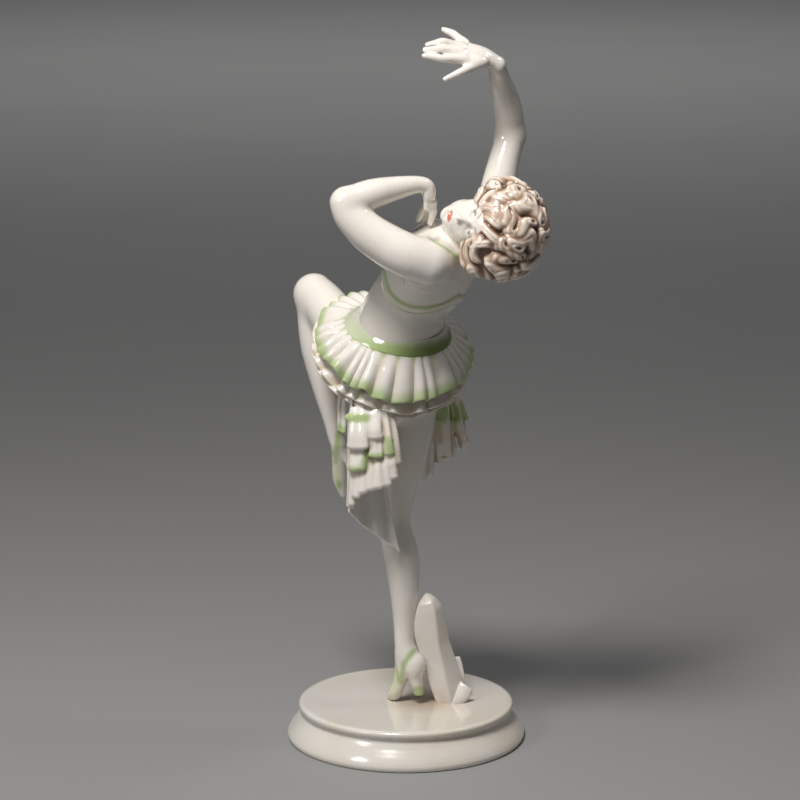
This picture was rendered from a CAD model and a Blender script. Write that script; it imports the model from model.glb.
import math
import random

import bmesh
import bpy
import numpy as np
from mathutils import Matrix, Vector


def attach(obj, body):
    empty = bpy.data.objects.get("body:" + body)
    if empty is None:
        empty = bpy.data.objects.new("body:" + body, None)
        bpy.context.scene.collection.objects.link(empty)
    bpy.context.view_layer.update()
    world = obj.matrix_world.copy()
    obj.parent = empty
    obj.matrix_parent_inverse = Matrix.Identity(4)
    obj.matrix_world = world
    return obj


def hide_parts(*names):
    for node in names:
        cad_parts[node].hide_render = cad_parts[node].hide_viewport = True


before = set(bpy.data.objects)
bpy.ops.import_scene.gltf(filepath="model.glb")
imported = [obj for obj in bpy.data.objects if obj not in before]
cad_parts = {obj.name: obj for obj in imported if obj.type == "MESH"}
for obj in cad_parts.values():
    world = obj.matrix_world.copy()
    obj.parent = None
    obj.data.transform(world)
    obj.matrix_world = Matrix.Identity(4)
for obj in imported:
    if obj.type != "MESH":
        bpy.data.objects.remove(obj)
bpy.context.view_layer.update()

# The base is a turned porcelain disc: a thin rounded slab over a drawn-in neck and a spreading
# foot. It is cast in a mould, and the dancer's shoe and the prop are stuck onto it with slip.
MM = 0.001
TURN = 2 * math.pi
BASE_HEIGHT = 15.5
BASE_FOOT_RADIUS = 50.4
BASE_PROFILE = [  # (radius, height) from the middle of the top to the middle of the underside
    (0, 15.5), (22, 15.5), (42.5, 15.5), (44.3, 15.35), (45.3, 14.8), (45.5, 14.0), (45.3, 13.2),
    (44.6, 12.6), (44.3, 11.9), (44.5, 10.8), (45.6, 9.0), (47.2, 7.0), (49.0, 4.7), (50.0, 3.0),
    (50.4, 1.7), (50.2, 0.6), (49.5, 0), (40, 0), (0, 0),
]


class Wire:
    """A node's output. An operator on it adds the Math or Vector Math node that it stands for."""

    def __init__(self, tree, socket):
        self.tree = tree
        self.socket = socket

    @classmethod
    def node(cls, tree, kind, settings=None, inputs=None, out=0):
        """Any other node: its settings first, then the values or links of its sockets."""
        made = tree.nodes.new(kind)
        for name, value in (settings or {}).items():
            if name == "stops":
                ramp = made.color_ramp.elements
                while len(ramp) < len(value):
                    ramp.new(1)
                for element, (place, colour) in zip(ramp, value):
                    element.position = place
                    element.color = (*colour, 1)
            elif name == "curve":
                line = made.mapping.curves[0].points
                while len(line) < len(value):
                    line.new(1, 1)
                for point, place in zip(line, value):
                    point.location = place
                    point.handle_type = "AUTO_CLAMPED"
                made.mapping.update()
            else:
                setattr(made, name, value)
        for name, value in (inputs or {}).items():
            if isinstance(value, cls):
                tree.links.new(value.socket, made.inputs[name])
            else:
                made.inputs[name].default_value = value
        return cls(tree, made.outputs[out])

    def math(self, operation, *pair):
        """One Math node, or one Vector Math node where this wire carries a vector."""
        kind = "ShaderNodeVectorMath" if self.socket.type == "VECTOR" else "ShaderNodeMath"
        return self.node(self.tree, kind, {"operation": operation}, dict(enumerate(pair)))

    def __add__(self, other):
        return self.math("ADD", self, other)

    def __radd__(self, other):
        return self.math("ADD", other, self)

    def __sub__(self, other):
        return self.math("SUBTRACT", self, other)

    def __rsub__(self, other):
        return self.math("SUBTRACT", other, self)

    def __mul__(self, other):
        if self.socket.type != "VECTOR":
            return self.math("MULTIPLY", self, other)
        scale = {0: self, "Scale": other}
        return self.node(self.tree, "ShaderNodeVectorMath", {"operation": "SCALE"}, scale)

    def __rmul__(self, other):
        return self.math("MULTIPLY", other, self)

    def __pow__(self, other):
        return self.math("POWER", self, other)

    def __abs__(self):
        return self.math("ABSOLUTE", self)

    def sin(self):
        return self.math("SINE", self)

    def cos(self):
        return self.math("COSINE", self)

    def ramp(self, start, end, smooth=True):
        """0 before start, 1 after end, and a smooth or a straight rise between them."""
        return self.node(
            self.tree, "ShaderNodeMapRange",
            {"interpolation_type": "SMOOTHSTEP" if smooth else "LINEAR"},
            {"Value": self, "From Min": start, "From Max": end},
        )

    def between(self, first, second):
        """The colour that lies this far from the first colour to the second."""
        return self.node(
            self.tree, "ShaderNodeMix", {"data_type": "RGBA"}, {0: self, 6: first, 7: second}, out=2
        )


def noise(tree, place, scale, detail=3):
    """Soft unevenness between 0 and 1, so many waves to the metre."""
    inputs = {"Vector": place, "Scale": scale, "Detail": detail}
    return Wire.node(tree, "ShaderNodeTexNoise", inputs=inputs)


def number_at(tree, name):
    """The number that the mesh carries under that name."""
    return Wire.node(tree, "ShaderNodeAttribute", {"attribute_name": name}, out=2)


def glaze(name, colour_of, gloss=0.09, depth=0.25):
    """Glazed porcelain. colour_of(tree, place) gives the painted colour under the clear glaze."""
    material = bpy.data.materials.new(name)
    material.use_nodes = True
    tree = material.node_tree
    place = Wire.node(tree, "ShaderNodeTexCoord", out=3)
    thick = noise(tree, place, 60, 2)
    fine = noise(tree, place, 420, 1)
    ripple = Wire.node(
        tree, "ShaderNodeBump",
        inputs={"Strength": 0.06, "Distance": 0.0012, "Height": thick + fine * 0.15},
    )
    shader = tree.nodes["Principled BSDF"]
    for socket, wire in {
        "Base Color": colour_of(tree, place),
        "Roughness": thick * 0.08 + (gloss - 0.03),
        "Normal": ripple,
    }.items():
        tree.links.new(wire.socket, shader.inputs[socket])
    shader.inputs["Subsurface Weight"].default_value = depth
    shader.inputs["Subsurface Radius"].default_value = (0.5, 0.45, 0.4)
    shader.inputs["Subsurface Scale"].default_value = 0.003
    shader.inputs["Coat Weight"].default_value = 0.5
    shader.inputs["Coat Roughness"].default_value = 0.03
    return material


BODY_WHITE = (0.80, 0.765, 0.715, 1)
CREAM = (0.76, 0.70, 0.60, 1)
STAIN = (0.50, 0.36, 0.24, 1)
HEEL_STAIN = (0.009, -0.003, 0.0155)  # where the glaze has browned under the heel


def base_colour(tree, place):
    """Warm white, creamier in patches, and brown where the glaze has pooled under the heel."""
    patch = noise(tree, place, 25)
    white = patch.ramp(0.35, 0.7).between(BODY_WHITE, CREAM)
    away = Wire.node(
        tree, "ShaderNodeVectorMath", {"operation": "DISTANCE"}, {0: place, 1: HEEL_STAIN}, out=1
    )
    brown = (1 - (away + patch * 0.008).ramp(0.006, 0.026)) * 0.8
    return brown.between(white, STAIN)


def grow(name, tree, values, material):
    """Runs a Geometry Nodes tree with those named values and keeps its result as a plain mesh."""
    seed = bpy.data.objects.new(name + "_tree", bpy.data.meshes.new(name))
    bpy.context.collection.objects.link(seed)
    modifier = seed.modifiers.new("shape", "NODES")
    modifier.node_group = tree
    for item in tree.interface.items_tree:
        if item.in_out == "INPUT" and item.name in values:
            modifier[item.identifier] = values[item.name]
    bpy.context.view_layer.update()
    shaped = seed.evaluated_get(bpy.context.evaluated_depsgraph_get())
    mesh = bpy.data.meshes.new_from_object(shaped)
    bpy.data.objects.remove(seed)
    mesh.materials.clear()
    mesh.materials.append(material)
    piece = bpy.data.objects.new(name, mesh)
    bpy.context.collection.objects.link(piece)
    return piece


def new_tree(name, inputs):
    """An empty Geometry Nodes tree, and a wire for each of its named inputs."""
    tree = bpy.data.node_groups.new(name, "GeometryNodeTree")
    for label, kind in inputs.items():
        tree.interface.new_socket(label, in_out="INPUT", socket_type=kind)
    tree.interface.new_socket("Geometry", in_out="OUTPUT", socket_type="NodeSocketGeometry")
    given = tree.nodes.new("NodeGroupInput")
    return tree, {label: Wire(tree, given.outputs[label]) for label in inputs}


def finish_tree(tree, mesh, material):
    """Closes a tree: its shape made real and smooth, with its material."""
    merged = Wire.node(tree, "GeometryNodeMergeByDistance", inputs={"Geometry": mesh, "Distance": 1e-6})
    smooth = Wire.node(tree, "GeometryNodeSetShadeSmooth", inputs={"Geometry": merged})
    real = Wire.node(tree, "GeometryNodeRealizeInstances", inputs={"Geometry": smooth})
    coated = Wire.node(tree, "GeometryNodeSetMaterial", inputs={"Geometry": real, "Material": material})
    tree.links.new(coated.socket, tree.nodes.new("NodeGroupOutput").inputs["Geometry"])


def grid(tree, around, along):
    """A flat grid, with the shares 0 to 1 around and along it at each of its points."""
    mesh = Wire.node(
        tree, "GeometryNodeMeshGrid",
        inputs={"Size X": 1, "Size Y": 1, "Vertices X": around, "Vertices Y": along},
    )
    place = Wire.node(tree, "GeometryNodeInputPosition")
    split = tree.nodes.new("ShaderNodeSeparateXYZ")
    tree.links.new(place.socket, split.inputs[0])
    return mesh, Wire(tree, split.outputs[0]) + 0.5, Wire(tree, split.outputs[1]) + 0.5


def turned(name, profile, material):
    """A tree that turns a profile of (radius, height) about the upright axis."""
    tree, given = new_tree(name, {"Radius": "NodeSocketFloat", "Height": "NodeSocketFloat"})
    mesh, around, along = grid(tree, 241, 180)
    steps = [0, *np.cumsum([math.dist(a, b) ** 0.5 for a, b in zip(profile, profile[1:])])]
    widest = max(radius for radius, height in profile)
    tallest = max(height for radius, height in profile)
    out = [(s / steps[-1], radius / widest) for s, (radius, height) in zip(steps, profile)]
    rise = [(s / steps[-1], height / tallest) for s, (radius, height) in zip(steps, profile)]
    radius = Wire.node(tree, "ShaderNodeFloatCurve", {"curve": out}, {"Value": along}) * given["Radius"]
    height = Wire.node(tree, "ShaderNodeFloatCurve", {"curve": rise}, {"Value": along}) * given["Height"]
    angle = around * -TURN
    place = Wire.node(
        tree, "ShaderNodeCombineXYZ", inputs={0: angle.cos() * radius, 1: angle.sin() * radius, 2: height}
    )
    shaped = Wire.node(tree, "GeometryNodeSetPosition", inputs={"Geometry": mesh, "Position": place})
    finish_tree(tree, shaped, material)
    return tree


BASE_GLAZE = glaze("base_glaze", base_colour, gloss=0.16)
base = grow(
    "base", turned("turned_base", BASE_PROFILE, BASE_GLAZE),
    {"Radius": BASE_FOOT_RADIUS * MM, "Height": BASE_HEIGHT * MM}, BASE_GLAZE,
)
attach(base, "root")
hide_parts("figurine")


# The legs and their shoes are cast hollow in one mould with the trunk: the standing leg on the
# toes of a heeled shoe, and the raised one with the knee up and the shank hanging from it.
def point(x, y, z):
    return np.array([x, y, z], float)


def unit(vector):
    return np.asarray(vector, float) / np.linalg.norm(vector)


FAR = 60.0  # a distance in mm that stands for out of reach
MARGIN = 4.5  # how far round a part its distance is worked out


class Limb:
    """A rounded body along a smooth line of stations (centre, half-width, half-depth)."""

    def __init__(self, stations, front=(0, -1, 0), steps=5):
        stations = [(*s, s[1]) if len(s) == 2 else s for s in stations]
        knots = np.array([[*centre, width, depth] for centre, width, depth in stations], float)
        padded = np.vstack([2 * knots[0] - knots[1], knots, 2 * knots[-1] - knots[-2]])
        line = []
        for a, b, c, d in zip(padded, padded[1:], padded[2:], padded[3:]):
            for t in np.arange(steps) / steps:
                bend = (2 * a - 5 * b + 4 * c - d) * t * t + (3 * b - a - 3 * c + d) * t ** 3
                line.append(0.5 * (2 * b + (c - a) * t + bend))
        line = np.array([*line, knots[-1]])
        self.centres, self.sizes = line[:, :3], np.maximum(line[:, 3:], 0.15)
        along = self.centres[1:] - self.centres[:-1]
        self.lengths = np.linalg.norm(along, axis=1)
        self.along = along / self.lengths[:, None]
        fronts = np.asarray(front, float)
        if fronts.ndim == 2:
            share = np.linspace(0, 1, len(along))
            given = np.linspace(0, 1, len(fronts))
            fronts = np.stack([np.interp(share, given, part) for part in fronts.T], axis=1)
        deep = fronts - self.along * np.sum(self.along * fronts, axis=1)[:, None]
        self.deep = deep / np.linalg.norm(deep, axis=1)[:, None]
        self.side = np.cross(self.along, self.deep)
        reach = self.sizes.max(axis=1)[:, None]
        self.low, self.high = (self.centres - reach).min(axis=0), (self.centres + reach).max(axis=0)

    def distance(self, places, reach):
        best = np.full(len(places), FAR)
        for i, length in enumerate(self.lengths):
            start, thick = self.centres[i], self.sizes[i : i + 2]
            middle = start + self.along[i] * length / 2
            near = length / 2 + thick.max() + reach
            picked = np.flatnonzero(np.sum((places - middle) ** 2, axis=1) < near * near)
            if not len(picked):
                continue
            off = places[picked] - start
            down = np.clip(off @ self.along[i], 0, length)
            sizes = thick[0] + (thick[1] - thick[0]) * (down / length)[:, None]
            round_end = sizes.min(axis=1)
            off = off - down[:, None] * self.along[i]
            parts = np.stack([off @ self.side[i], off @ self.deep[i], off @ self.along[i]])
            sizes = np.stack([sizes[:, 0], sizes[:, 1], round_end])
            best[picked] = np.minimum(best[picked], oval(parts, sizes))
        return best


def oval(parts, sizes):
    """About how far a place with those three parts is outside an ellipsoid of those half sizes."""
    scaled = np.sqrt(np.sum((parts / sizes) ** 2, axis=0))
    steep = np.sqrt(np.sum((parts / sizes**2) ** 2, axis=0))
    return scaled * (scaled - 1) / np.maximum(steep, 1e-6)


class Lump:
    """An ellipsoid with its own three axes."""

    def __init__(self, centre, sizes, axes=np.eye(3)):
        self.centre, self.axes = np.asarray(centre, float), np.asarray(axes, float)
        self.sizes = np.array([sizes] * 3 if np.isscalar(sizes) else sizes, float)
        reach = np.sqrt(np.sum((self.axes * self.sizes[:, None]) ** 2, axis=0))
        self.low, self.high = self.centre - reach, self.centre + reach

    def distance(self, places, reach):
        return oval(self.axes @ (places - self.centre).T, self.sizes[:, None])


def rounded(a, b, soft):
    """The smaller of two distances, with the meeting of the two rounded over soft mm."""
    near = np.maximum(soft - np.abs(a - b), 0) / soft
    return np.minimum(a, b) - near * near * soft / 4


def distance_to(places, parts):
    """Distance in mm to the parts, each of them added to or cut from the ones before it."""
    total = np.full(len(places), FAR)
    for part, soft, how in parts:
        reach = soft + MARGIN
        inside = np.all((places > part.low - reach) & (places < part.high + reach), axis=1)
        picked = np.flatnonzero(inside)
        if not len(picked):
            continue
        away = part.distance(places[picked], reach)
        if how == "add":
            total[picked] = rounded(total[picked], away, soft)
        else:
            total[picked] = -rounded(-total[picked], away, soft)
    return total


BLOCK = 4  # grid cells on each side of the blocks that are first looked at whole


def stops(low, high, step, fine=None):
    """Places along one axis, step apart, or closer between the two ends of fine."""
    if fine is None:
        places = np.arange(low, high + step, step)
    else:
        start, end, close = fine
        places = np.concatenate([
            np.arange(low, start, step), np.arange(start, end, close), np.arange(end, high + step, step),
        ])
    spare = -len(places) % BLOCK
    return np.concatenate([places, places[-1] + step * np.arange(1, spare + 1)])


def skin(parts, axes):
    """The closed surface of the parts as points and quads, by surface nets on a grid."""
    counts = [len(stops) // BLOCK for stops in axes]
    middles = [stops.reshape(-1, BLOCK).mean(axis=1) for stops in axes]
    halves = [np.ptp(stops.reshape(-1, BLOCK), axis=1) * 0.7 for stops in axes]
    centres = np.stack(np.meshgrid(*middles, indexing="ij"), axis=-1).reshape(-1, 3)
    spans = np.linalg.norm(np.stack(np.meshgrid(*halves, indexing="ij"), axis=-1), axis=-1).ravel()
    coarse = distance_to(centres, parts)
    value = coarse.reshape(counts).astype(np.float32)
    for axis in range(3):
        value = value.repeat(BLOCK, axis=axis)
    inner = np.indices((BLOCK, BLOCK, BLOCK)).reshape(3, -1).T
    near = np.flatnonzero(np.abs(coarse) < spans * 1.4 + 0.3)
    corner = np.stack(np.unravel_index(near, counts), axis=1) * BLOCK
    index = (corner[:, None] + inner).reshape(-1, 3)
    places = np.stack([stops[index[:, i]] for i, stops in enumerate(axes)], axis=1)
    value[tuple(index.T)] = distance_to(places, parts)

    full = (value < 0).astype(np.int8)
    count = np.zeros(tuple(n - 1 for n in value.shape), np.int8)
    corners = np.indices((2, 2, 2)).reshape(3, -1).T
    for i, j, k in corners:
        count += full[i : i + count.shape[0], j : j + count.shape[1], k : k + count.shape[2]]
    cells = np.stack(np.nonzero((count > 0) & (count < 8)), axis=1)
    number = np.full(count.shape, -1, np.int32)
    number[tuple(cells.T)] = np.arange(len(cells))
    total, crossed = np.zeros((len(cells), 3)), np.zeros(len(cells))
    for start in corners:
        for axis in range(3):
            if start[axis]:
                continue
            end = start.copy()
            end[axis] = 1
            one, two = cells + start, cells + end
            a, b = value[tuple(one.T)].astype(float), value[tuple(two.T)].astype(float)
            cut = (a < 0) != (b < 0)
            share = np.where(cut, a / np.where(cut, a - b, 1), 0)[:, None]
            first = np.stack([stops[one[:, i]] for i, stops in enumerate(axes)], axis=1)
            last = np.stack([stops[two[:, i]] for i, stops in enumerate(axes)], axis=1)
            total += np.where(cut[:, None], first + (last - first) * share, 0)
            crossed += cut
    points = total / crossed[:, None]

    quads = []
    for axis in range(3):
        left, right = [slice(1, -1)] * 3, [slice(1, -1)] * 3
        left[axis], right[axis] = slice(0, -1), slice(1, None)
        a, b = full[tuple(left)], full[tuple(right)]
        for turn, hit in ((1, (a == 1) & (b == 0)), (-1, (a == 0) & (b == 1))):
            at = np.stack(np.nonzero(hit), axis=1) + 1
            at[:, axis] -= 1
            next_axis, last_axis = (axis + 1) % 3, (axis + 2) % 3
            ring = []
            for back, down in ((1, 1), (0, 1), (0, 0), (1, 0)):
                cell = at.copy()
                cell[:, next_axis] -= back
                cell[:, last_axis] -= down
                ring.append(number[tuple(cell.T)])
            quads.append(np.stack(ring[::turn], axis=1))
    return points, np.concatenate(quads)


LONGEST_MOVE = 0.4  # mm that one round of settling may move a point


def settle(points, parts, times=2):
    """Moves points of a skin onto the true surface of its parts."""
    for _ in range(times):
        here = distance_to(points, parts)
        slope = np.stack([
            distance_to(points + step, parts) - here for step in np.eye(3) * 0.04
        ], axis=1) / 0.04
        steep = np.maximum(np.sum(slope**2, axis=1), 0.3)
        move = -slope * (here / steep)[:, None]
        length = np.maximum(np.linalg.norm(move, axis=1), 1e-9)
        points = points + move * np.minimum(1, LONGEST_MOVE / length)[:, None]
    return points


def mesh_of(name, points, faces, material, shares=None):
    """An object in metres from points in mm, with a number at each point for each of shares."""
    mesh = bpy.data.meshes.new(name)
    mesh.vertices.add(len(points))
    mesh.vertices.foreach_set("co", (np.asarray(points) * MM).ravel())
    mesh.loops.add(faces.size)
    mesh.loops.foreach_set("vertex_index", faces.ravel().astype(np.int32))
    mesh.polygons.add(len(faces))
    mesh.polygons.foreach_set("loop_start", np.arange(len(faces), dtype=np.int32) * faces.shape[1])
    mesh.update(calc_edges=True)
    mesh.validate()
    mesh.shade_smooth()
    for label, numbers in (shares or {}).items():
        layer = mesh.attributes.new(label, "FLOAT", "POINT")
        layer.data.foreach_set("value", np.asarray(numbers, np.float32))
    mesh.materials.append(material)
    piece = bpy.data.objects.new(name, mesh)
    bpy.context.collection.objects.link(piece)
    return piece


HIPS_FRONT = unit((-0.72, 0.69, 0))
CHEST_FRONT = unit((-0.64, 0.37, 0.66))
ANKLE_STANDING = point(-0.4, -4, 41.4)
KNEE_STANDING = point(-5, 3, 95.4)
HIP_STANDING = point(2.9, 6, 152.8)
HIP_RAISED = point(-12, -8, 154)
KNEE_RAISED = point(-38.8, 31.5, 185)
ANKLE_RAISED = point(-29.6, 24.5, 124)

figure = [
    (Limb([
        (HIP_STANDING, 12.6, 12.2), ((0.6, 5.5, 138), 12, 11.8), ((-1.5, 5, 123), 10.9, 10.8),
        ((-3.8, 4, 110), 8.8, 9.2), (KNEE_STANDING, 6.7, 7.4), ((-4.4, 2, 88), 6.8, 7),
        ((-2.2, 1, 80), 7.8, 7), ((-1.1, 0, 71), 7.5, 6.4), ((-0.6, -2, 59.7), 6.1, 5.4),
        ((-0.6, -3, 49), 4.8, 4.5), (ANKLE_STANDING, 4.5, 4.2), ((1.2, -5.2, 36), 4.6, 4.4),
    ], HIPS_FRONT), 1.0, "add"),
    (Limb([
        ((-0.6, -4, 37), 4.2), ((-0.9, -4, 31), 3.9, 3.8), ((-2.5, -3.6, 24.6), 2.9, 3),
        ((-4.8, -2.2, 18.6), 2.9, 2.9), ((-6.2, 2.6, 16.9), 2.3, 2),
    ]), 1.6, "add"),
    (Lump((3.6, -6.3, 32.2), (4.9, 4.8, 5.8)), 0.9, "add"),
    (Limb([
        ((3.9, -6.1, 29.2), 3.6), ((4.6, -6.2, 25.4), 2.9), ((5.3, -6.2, 22), 2.3),
        ((5.7, -6.2, 18.4), 2.1),
    ]), 1.0, "add"),
    (Lump((6.2, -6.6, 9.6), 10), 0.3, "cut"),
    (Limb([
        (HIP_RAISED, 12), ((-23.5, 12, 167.2), 10.6), ((-33, 25, 179.4), 9.6, 9.8),
        (KNEE_RAISED, 8.6, 8.8),
    ]), 1.0, "add"),
    (Limb([
        ((-39.4, 31.5, 184), 7.2, 7.4), ((-37.6, 30, 171), 8.2, 8), ((-37, 29, 162), 7.6),
        ((-35.6, 28, 153), 6.6, 6.8), ((-33.6, 27, 142), 5.2, 5.4),
        ((-31.4, 25.8, 132), 4, 4.2), (ANKLE_RAISED, 3.6, 3.9),
    ]), 3.0, "add"),
    (Limb([
        ((-28.4, 23.6, 121.5), 3.7, 4.1), ((-28.2, 24.8, 114), 3.4),
        ((-28.2, 26, 105.5), 3.1, 2.8), ((-26.9, 27, 98.6), 1.6, 1.7),
    ]), 1.2, "add"),
    (Limb([
        ((-26.4, 23.2, 119), 2.6), ((-25.4, 21.6, 116), 1.6), ((-24.6, 20.4, 112.9), 1),
    ]), 0.8, "add"),
]


# The trunk bends back and to the right over a bare waist, and wears a short bodice that leaves
# the midriff bare. It is pressed from the same mould as the hips and luted to the arms.
NECK_BASE = point(20.5, -23, 215)
TRUNK_SIDE = -unit(np.cross(CHEST_FRONT, (0.515, -0.43, 0.742)))
BUST = point(12, -16, 203.5) + 10.8 * CHEST_FRONT
HIPS_SIDE = point(0.69, 0.72, 0)
SEAT = point(-4.8, -2, 152) - 6 * HIPS_FRONT
figure += [
    (Limb([
        ((-5, -1.5, 150), 17, 12.5), ((-4.8, -2, 161), 19, 15.5), ((-3.8, -2.6, 172.5), 19, 17.2),
        ((-1.6, -4, 180.5), 18.2, 17), ((2.2, -6.4, 189.5), 18.2, 15.6),
        ((8.6, -12, 198.5), 20.6, 15.6), ((13.4, -17, 206), 20, 14),
        ((17.6, -20.4, 211.6), 15.5, 10.5), (NECK_BASE, 7.6, 7.4),
    ], (HIPS_FRONT, CHEST_FRONT), steps=8), 5.0, "add"),
    (Lump(SEAT + 7.5 * HIPS_SIDE, (9.5, 9.5, 9)), 5.0, "add"),
    (Lump(SEAT - 7.5 * HIPS_SIDE, (9.5, 9.5, 9)), 5.0, "add"),
    (Lump(BUST + 9 * TRUNK_SIDE, 8.4), 6.0, "add"),
    (Lump(BUST - 9 * TRUNK_SIDE, 8.4), 6.0, "add"),
    (Lump((12.5, -12, 214.5), (9, 8.5, 8)), 6.0, "add"),
]
trunk = figure[-6:]


# The near arm is bent over the chest with the hand hanging by the chin; the other arm rises
# behind the hair and turns over at the wrist. Arms and hands are cast apart and stuck on.
figure += [
    (Limb([
        ((9, -37, 209), 9.6, 9.8), ((0, -38.5, 212.5), 9, 9.4), ((-8.9, -37, 217.2), 8.4, 8.8),
        ((-16, -35.4, 222), 7.8, 8.2), ((-22, -34, 228), 7, 7.2), ((-24, -33.4, 232.6), 6.2),
    ]), 6.0, "add"),
    (Limb([
        ((-23.6, -33.2, 233), 6), ((-13.9, -31, 236), 6, 6.5), ((-4.5, -28, 237.9), 4.8, 5.1),
        ((3.6, -25.6, 239), 3.6, 3.8), ((8, -24.4, 238.2), 3.2, 3.4), ((9.2, -23.6, 235), 2.6, 3.6),
    ]), 2.5, "add"),
    (Limb([((9, -23.8, 236), 3.4, 2.2), ((9.4, -22, 230.5), 4.6, 1.9)], (1, -0.5, 0)), 1.5, "add"),
    (Limb([
        ((33, -5, 216.5), 9), ((36.4, -1, 227), 7.8), ((38.3, 2, 236.5), 7.1),
        ((40.2, 5.4, 245), 6.4, 6.6), ((42.8, 10, 254), 6.1, 6.2),
    ]), 6.0, "add"),
    (Limb([
        ((42.8, 10.4, 255.6), 6.2), ((42.2, 7.6, 263), 6, 6.1), ((40.4, 3.6, 270.7), 5.5, 5.6),
        ((38, -3, 278.9), 4.3, 4.4), ((36.6, -7, 284.6), 3.4, 3.5),
    ]), 3.0, "add"),
    (Limb([
        ((36.8, -7.4, 285.4), 3.3, 3.2), ((31, -9.6, 288.8), 4.6, 2.7), ((23.5, -11.2, 290.8), 5.1, 2.1),
        ((18.4, -13, 291.4), 4.4, 1.1),
    ], (0, -0.65, 0.75)), 1.6, "add"),
]
figure += [  # small creases of the bodice under the arm
    (Limb([(a, 0.5), (b, 0.7), (c, 0.4)]), 1.0, "cut")
    for a, b, c in (
        ((-8, -28, 206), (-5.2, -29.2, 202.6), (-1.6, -30.6, 199.6)),
        ((-3.5, -30.5, 205), (-0.5, -31, 201.6), (3.5, -31.2, 199.6)),
    )
]
figure.append((Lump((26.6, -14, 286.8), (5.6, 2.6, 2.8)), 2.0, "add"))  # the ball of the thumb
NEAR_FINGERS = [
    [(10.2, -23.4, 230.6), (10.4, -23, 226.8), (9.6, -22, 223)],
    [(8, -21.2, 230.4), (6.4, -19.8, 227), (4.8, -18.4, 223.8)],
    [(8.8, -19.2, 230.6), (7.8, -17.4, 226.6), (6.6, -15.4, 223)],
    [(10.4, -20.6, 231), (10.8, -18.6, 227), (10, -16.6, 223.4)],
]
RAISED_FINGERS = [
    [(23, -15, 288), (15, -18.2, 288.6), (7.2, -19, 289.8)],
    [(22, -13, 290.4), (14, -15.8, 292), (7.4, -16.6, 292)],
    [(22, -10.4, 292.6), (14.6, -12.6, 294.8), (8.4, -12.8, 293.6)],
    [(23.4, -7.4, 294), (18.8, -4.8, 297.4), (15, -3, 299)],
    [(31, -12.6, 286.6), (23.4, -17.6, 284), (15.6, -19.8, 280.6)],
]
for joints in NEAR_FINGERS + RAISED_FINGERS:
    root, middle, tip = [point(*joint) for joint in joints]
    figure.append((Limb([
        (root, 2.1), ((root + middle) / 2, 1.8), (middle, 1.7), ((middle + tip) / 2, 1.45), (tip, 1.1),
    ]), 1.3, "add"))


# The head is thrown far back on the neck, and is cast apart and luted on. Its face is a plain
# calm one on the usual thirds and halves; eyes, brows and lips are painted under the glaze.
HEAD_HEIGHT = 32.5  # chin to crown, under the hair
HEAD_UP = unit((0.834, -0.529, -0.156))
HEAD_LEFT = unit(np.cross(HEAD_UP, (-0.4815, -0.8366, 0.261)))
HEAD_FACE = np.cross(HEAD_LEFT, HEAD_UP)
HEAD_AXES = np.array([HEAD_LEFT, HEAD_FACE, HEAD_UP])
HEAD = point(33.6, -32.2, 222.8) - 2.8 * HEAD_UP


def on_head(left, out, up):
    """A place given in shares of the head's height from its middle."""
    return HEAD + HEAD_HEIGHT * (np.array([left, out, up]) @ HEAD_AXES)


def head_lump(left, out, up, sizes, soft, how="add"):
    return (Lump(on_head(left, out, up), np.array(sizes) * HEAD_HEIGHT, HEAD_AXES), soft, how)


def head_limb(spots, soft, how="add"):
    """A thin rounded ridge over spots of (left, out, up, thickness), all in shares."""
    line = [(on_head(*spot[:3]), spot[3] * HEAD_HEIGHT) for spot in spots]
    return (Limb(line, HEAD_FACE), soft, how)


EYE = (0.135, 0.262, -0.01)
figure += [
    (Limb([
        ((19.5, -22, 212), 8.4), ((25.6, -24.2, 219.4), 6.6), (on_head(0, -0.12, -0.2), 6.4),
    ]), 4.0, "add"),
    head_lump(0, -0.06, 0.1, (0.335, 0.42, 0.4), 2.0),
    head_lump(0, 0.08, -0.13, (0.272, 0.29, 0.36), 3.0),
    head_lump(0, 0.1, -0.27, (0.215, 0.235, 0.2), 3.0),
    head_lump(0, 0.255, -0.415, (0.085, 0.075, 0.07), 2.5),
    head_lump(0, 0.17, 0.17, (0.25, 0.2, 0.19), 3.0),
    head_lump(0, 0.27, -0.28, (0.12, 0.085, 0.1), 2.0),
]
for side in (-1, 1):
    left = side * EYE[0]
    figure += [
        head_lump(side * 0.17, 0.2, -0.12, (0.09, 0.085, 0.08), 2.5),
        head_limb([(side * 0.05, 0.325, 0.07, 0.03), (side * 0.13, 0.315, 0.085, 0.028),
                   (side * 0.215, 0.25, 0.07, 0.025)], 1.6),
        head_lump(left, 0.375, -0.002, (0.085, 0.075, 0.052), 1.6, "cut"),
        head_lump(left, EYE[1], EYE[2], (0.07, 0.066, 0.062), 0.5),
        head_limb([
            (left - side * 0.065, 0.298, -0.02, 0.008), (left - side * 0.02, 0.334, 0.022, 0.011),
            (left + side * 0.025, 0.326, 0.022, 0.011), (left + side * 0.07, 0.275, -0.012, 0.008),
        ], 0.5),
        head_limb([(left - side * 0.06, 0.3, -0.03, 0.007), (left, 0.322, -0.05, 0.009),
                   (left + side * 0.06, 0.28, -0.028, 0.007)], 0.5),
    ]
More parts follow.
